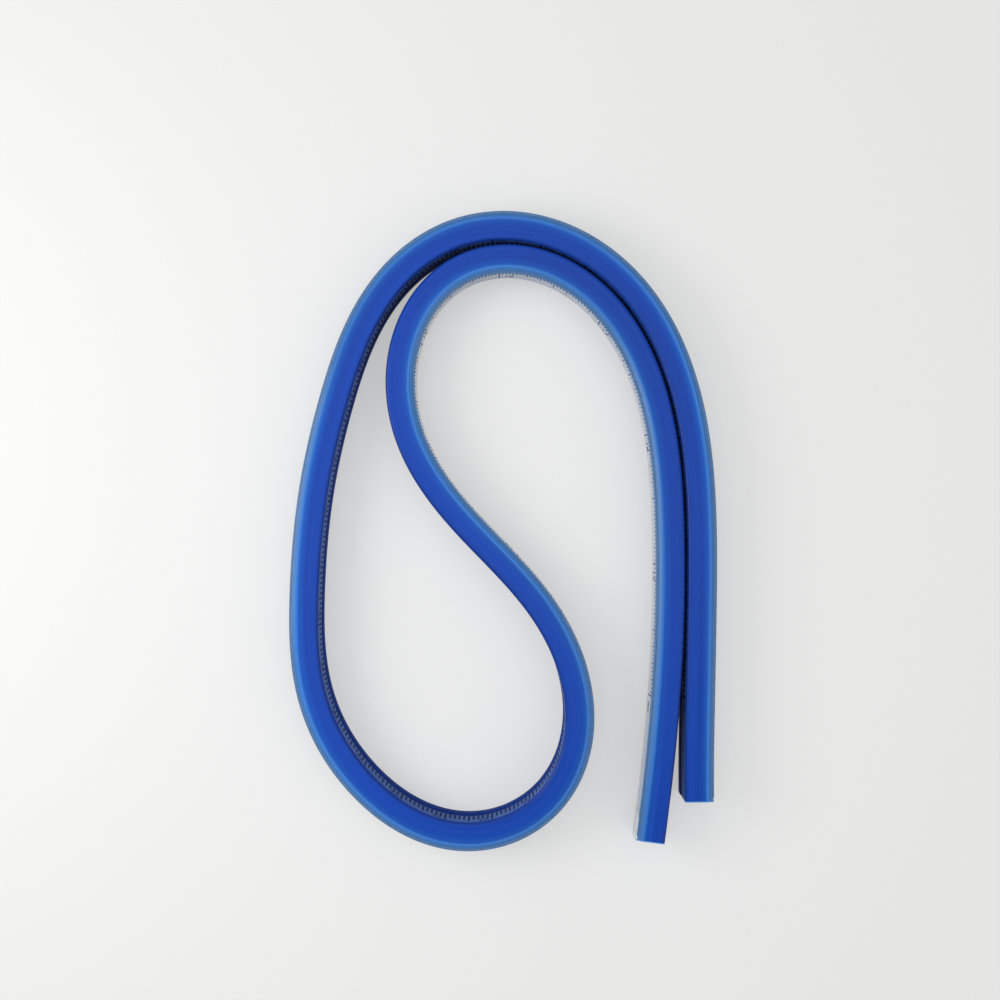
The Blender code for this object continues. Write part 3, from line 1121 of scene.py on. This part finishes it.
class RULER_OT_core(bpy.types.Operator):
    """Build the lead bar and the spring-steel strip inside the sheath"""

    bl_idname = "ruler.core"
    bl_label = "Lead bar and steel strip"

    def execute(self, context):
        sizes = context.scene.ruler_sizes
        room = sizes.room
        lead = bore_levels(sizes, room)
        strip = (lead[0] + room, lead[1] - room)
        strip_low = room - sizes.bore
        strip_high = strip_low + sizes.strip
        lead_low, lead_high = strip_high + room, sizes.bore - room
        kinds = (
            ("lead_bar", "lead_core", "core_lead", "lead_metal", lead_low, lead_high, lead),
            ("spring_strip", "steel_strip", "strip_steel", "steel_metal", strip_low, strip_high, strip),
        )
        for title, kind, slot, material, low, high, levels in kinds:
            corner = (high - low) * bar_corner_share
            outline = bar_outline(low, high, *levels, corner, material)
            sweep_reaches(title, [outline], sizes.plug + room, kind)
        return {"FINISHED"}


class RULER_OT_ends(bpy.types.Operator):
    """Build the two sealed ends with their stems"""

    bl_idname = "ruler.ends"
    bl_label = "Sealed ends"

    def execute(self, context):
        sizes = context.scene.ruler_sizes
        route, finishes = Route(sizes), Finishes()
        first, last = min(frame["bodies"]), max(frame["bodies"])
        room = sizes.plug_room
        half = sizes.bore - room
        levels = bore_levels(sizes, room)
        stem = bar_outline(-half, half, *levels, sizes.small_corner, "seal_vinyl")
        length = sizes.ruler_length
        whole = end_outline(sizes, cad_high[2])
        for side, body, end, sign in (("inner", first, 0.0, 1), ("outer", last, length, -1)):
            inset = [end + sign * part for part in (sizes.rim, sizes.seal, sizes.plug)]
            # A thin zone at each end takes the seal finish as a painted highlight on the end's edge.
            rim = (*sorted((end, inset[0])), "seal_vinyl")
            cap_span, stem_span = sorted((end, inset[1])), sorted(inset[1:])
            cap = sweep(f"sealed_end_{side}", [whole], route, *cap_span, sizes, finishes, (rim,))
            post = sweep(f"plug_stem_{side}", [stem], route, *stem_span, sizes, finishes)
            for piece in (cap, post):
                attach(piece, body)
            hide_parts(f"end_plug_{side}")
        return {"FINISHED"}


class RULER_OT_scales(bpy.types.Operator):
    """Print the inch scale on side A and the metric scale on side B"""

    bl_idname = "ruler.scales"
    bl_label = "Printed scales"

    def execute(self, context):
        sizes, scales = context.scene.ruler_sizes, context.scene.ruler_scales
        route, finishes = Route(sizes), Finishes()
        tree = marks_tree()
        ink = finishes["scale_ink"]
        numerals = Numerals(scales.numeral, scales.ink)
        kinds = (
            ("inch_print", inch_marks(sizes, scales), inch_face(sizes), scales.inch_tick_width,
             scales.inch_numeral_level, scales.inch_numeral_side),
            ("metric_print", metric_marks(scales), metric_face(sizes), scales.tick_width,
             scales.metric_numeral_level, scales.metric_numeral_side),
        )
        for title, marks, face, width, level, side_step in kinds:
            for reach in reaches(route, sizes, 0.0):
                own = [mark for mark in marks if reach.start <= mark[0] < reach.end]
                name = f"{title}_{reach.number:02d}"
                piece = tick_mesh(name, own, face, route, scales, width, tree, ink)
                wrapped = numerals.wrapped(own, face, route, level, side_step)
                add_numerals(piece, *wrapped, ink)
                finish_piece(piece, reach, route)
        return {"FINISHED"}


class RULER_OT_stage(bpy.types.Operator):
    """Set up the floor, the light and the camera"""

    bl_idname = "ruler.stage"
    bl_label = "Stage"

    def execute(self, context):
        scene = context.scene
        stage = scene.ruler_stage
        scene.view_settings.view_transform = "Standard"
        half = stage.floor_size / 2
        mesh = bpy.data.meshes.new("floor")
        corners = [(-half, -half, 0), (half, -half, 0), (half, half, 0), (-half, half, 0)]
        mesh.from_pydata(corners, [], [(0, 1, 2, 3)])
        floor = bpy.data.objects.new("floor", mesh)
        scene.collection.objects.link(floor)
        paper = Finish("floor_paper", {"Roughness": floor_roughness})
        grain = paper.noise(paper.coordinates(), floor_grain)
        dark = tuple(part * floor_dark_share for part in stage.floor)
        paper.shade("Base Color", paper.mix(grain, dark, stage.floor))
        self.soften(paper, stage)
        mesh.materials.append(paper.material)
        world = bpy.data.worlds.new("soft_sky")
        world.use_nodes = True
        background = world.node_tree.nodes["Background"]
        background.inputs["Color"].default_value = (1.0, 1.0, 1.0, 1.0)
        background.inputs["Strength"].default_value = stage.world
        scene.world = world
        lamps = [self.lamp(scene, stage, *row) for row in lamp_rows]
        self.camera(scene, stage)
        return {"FINISHED"}

    @staticmethod
    def soften(paper, stage):
        """Mix the floor's own colour into what the camera and reflections see of it."""
        rays = paper.nodes.new("ShaderNodeLightPath")
        seen = rays.outputs["Is Camera Ray"]
        for name in ("Is Glossy Ray", "Is Transmission Ray"):
            seen = paper.math("MAXIMUM", seen, rays.outputs[name])
        share = paper.math("MULTIPLY", seen, stage.shadow_fill)
        glow = paper.wire("ShaderNodeEmission", 0, {"Color": stage.floor})
        shaders = {0: share, 1: paper.shader.outputs[0], 2: glow}
        mixed = paper.wire("ShaderNodeMixShader", 0, shaders)
        paper.feed(paper.nodes["Material Output"].inputs["Surface"], mixed)

    @staticmethod
    def lamp(scene, stage, name, x_share, y_share, z_share, size_share, strength):
        """A square softbox that looks at the ruler's middle, placed in picture widths."""
        unit = stage.picture_width
        light = bpy.data.lights.new(name, "AREA")
        light.size = size_share * unit
        light.energy = strength * unit * unit
        lamp = bpy.data.objects.new(name, light)
        lamp.location = (x_share * unit, y_share * unit, z_share * unit)
        aim = -Vector(lamp.location)
        lamp.rotation_euler = aim.to_track_quat("-Z", "Y").to_euler()
        lamp.visible_camera = False
        scene.collection.objects.link(lamp)
        return lamp

    @staticmethod
    def camera(scene, stage):
        data = bpy.data.cameras.new("photo_camera")
        data.sensor_width = stage.sensor
        data.lens = stage.sensor * stage.distance / stage.picture_width
        data.clip_start = stage.distance * near_clip_share
        data.clip_end = stage.floor_size * 2
        camera = bpy.data.objects.new("photo_camera", data)
        camera.location = (stage.view_x, stage.view_y, cad_high[2] + stage.distance)
        scene.collection.objects.link(camera)
        scene.camera = camera


class RULER_PT_pieces(bpy.types.Panel):
    """The ruler's builders"""

    bl_idname = "RULER_PT_pieces"
    bl_label = "Flexible Curve Ruler"
    bl_space_type = "VIEW_3D"
    bl_region_type = "UI"
    bl_category = "Ruler"

    def draw(self, context):
        for operator in operators:
            self.layout.operator(operator.bl_idname)


groups = {
    "ruler_sizes": RulerSizes,
    "ruler_scales": ScaleSizes,
    "ruler_colours": RulerColours,
    "ruler_stage": StageSettings,
}
operators = (
    RULER_OT_sheath,
    RULER_OT_ledge,
    RULER_OT_core,
    RULER_OT_ends,
    RULER_OT_scales,
    RULER_OT_stage,
)


def register():
    for item in (*groups.values(), *operators, RULER_PT_pieces):
        bpy.utils.register_class(item)
    for name, group in groups.items():
        setattr(bpy.types.Scene, name, bpy.props.PointerProperty(type=group))


def unregister():
    for name in groups:
        delattr(bpy.types.Scene, name)
    for item in (*groups.values(), *operators, RULER_PT_pieces):
        bpy.utils.unregister_class(item)


def main():
    register()
    bpy.ops.ruler.sheath()
    bpy.ops.ruler.ledge()
    bpy.ops.ruler.core()
    bpy.ops.ruler.ends()
    bpy.ops.ruler.scales()
    bpy.ops.ruler.stage()


if __name__ == "__main__":
    main()
